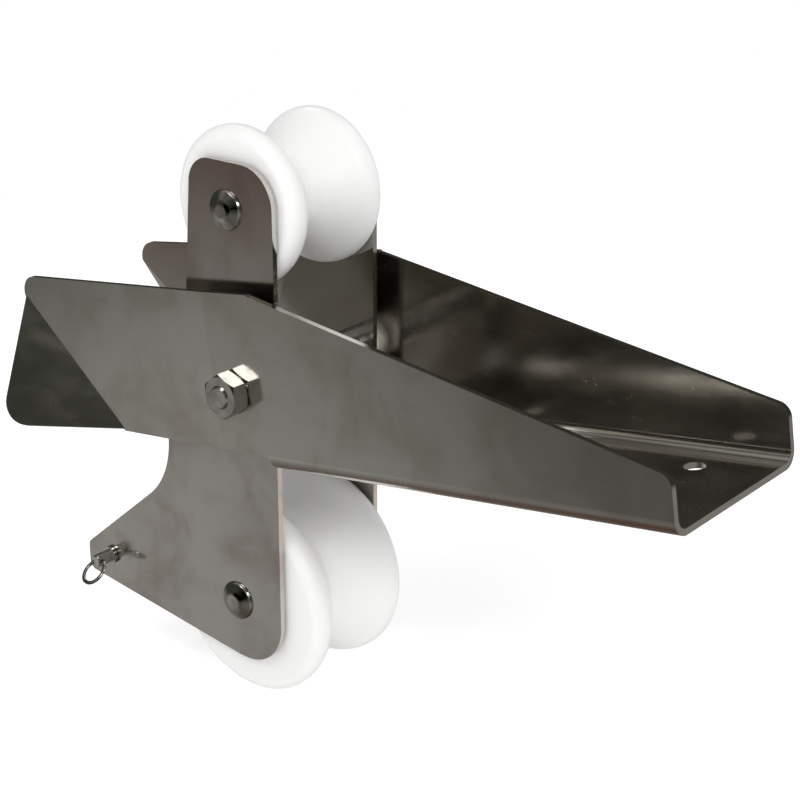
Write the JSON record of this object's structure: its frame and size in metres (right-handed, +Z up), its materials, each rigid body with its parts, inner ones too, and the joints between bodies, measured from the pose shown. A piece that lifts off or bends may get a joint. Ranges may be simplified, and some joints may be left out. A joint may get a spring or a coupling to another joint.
{
  "type": "hinged bow roller",
  "caption": "Hinged stainless bow roller: a deck-bolted trough with a tipping rocker that carries two nylon spool rollers and a retaining pin.",
  "frame": {"origin": "middle of the four deck bolt holes, on the underside of the trough", "axes": "+X inboard (aft) along the trough, +Y to starboard along the pivot bolt, +Z up out of the deck"},
  "size_m": [0.3449, 0.123, 0.2548],
  "materials": {
    "trough_steel": "polished stainless sheet",
    "rocker_steel": "polished stainless sheet",
    "fastener_steel": "bright stainless",
    "pin_steel": "bright stainless",
    "roller_nylon": "white nylon, satin",
    "washer_nylon": "natural nylon"
  },
  "bodies": {
    "trough": {"trough": "trough_steel", "pivot_bolt": "fastener_steel", "pivot_nut": "fastener_steel", "pivot_washer": "fastener_steel", "side_spacer_port": "washer_nylon", "side_spacer_starboard": "washer_nylon"},
    "rocker": {"rocker_plate_port": "rocker_steel", "rocker_plate_starboard": "rocker_steel", "pivot_sleeve": "fastener_steel", "upper_axle": "fastener_steel", "lower_axle": "fastener_steel", "upper_axle_screw_port": "fastener_steel", "upper_axle_screw_starboard": "fastener_steel", "lower_axle_screw_port": "fastener_steel", "lower_axle_screw_starboard": "fastener_steel", "upper_thrust_washer_port": "washer_nylon", "upper_thrust_washer_starboard": "washer_nylon", "lower_thrust_washer_port": "washer_nylon", "lower_thrust_washer_starboard": "washer_nylon"},
    "upper_roller": {"upper_roller": "roller_nylon"},
    "lower_roller": {"lower_roller": "roller_nylon"},
    "retaining_pin": {"retaining_pin": "pin_steel"},
    "pull_ring": {"pull_ring": "pin_steel"}
  },
  "joints": [
    {"name": "rocker_tilt", "type": "hinge", "parent": "trough", "child": "rocker", "pos_m": [-0.1275, 0, 0.033], "axis": [0, 1, 0], "range_deg": [-6, 85]},
    {"name": "upper_roller_spin", "type": "hinge", "parent": "rocker", "child": "upper_roller", "pos_m": [-0.12736, 0, 0.10739], "axis": [0, 1, 0], "continuous": true},
    {"name": "lower_roller_spin", "type": "hinge", "parent": "rocker", "child": "lower_roller", "pos_m": [-0.15521, 0, -0.06841], "axis": [0, 1, 0], "continuous": true},
    {"name": "pin_pull", "type": "slide", "parent": "rocker", "child": "retaining_pin", "axis": [0, -1, 0], "range_m": [0, 0.075]},
    {"name": "ring_swing", "type": "hinge", "parent": "retaining_pin", "child": "pull_ring", "pos_m": [-0.23953, -0.0395, -0.06103], "axis": [1, 0, 0], "range_deg": [-45, 75]}
  ]
}
